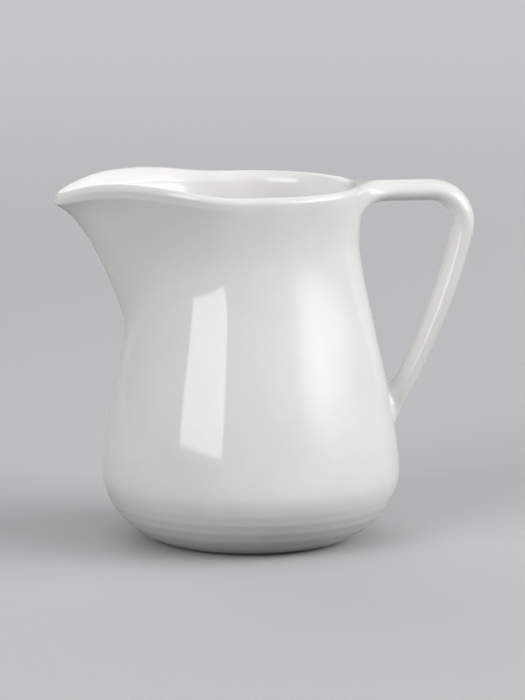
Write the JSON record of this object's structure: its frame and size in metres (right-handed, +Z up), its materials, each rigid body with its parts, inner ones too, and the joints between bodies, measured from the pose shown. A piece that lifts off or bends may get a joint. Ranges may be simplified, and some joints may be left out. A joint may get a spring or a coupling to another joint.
{
  "type": "porcelain creamer",
  "caption": "White glazed porcelain pouring jug with a round belly, a rolled rim, a raised spout and a loop handle, for serving cream or milk.",
  "frame": {"origin": "centre of the foot ring, on the surface that the jug stands on, which is on the turned body's axis", "axes": "+Z up along the turned body's axis, +X towards the handle, the spout pours towards -X, and the XZ plane is the mirror plane"},
  "size_m": [0.118, 0.0834, 0.1026],
  "materials": {
    "porcelain": "clear gloss glaze over white porcelain"
  },
  "bodies": {
    "root": {"creamer": "porcelain"}
  },
  "joints": []
}
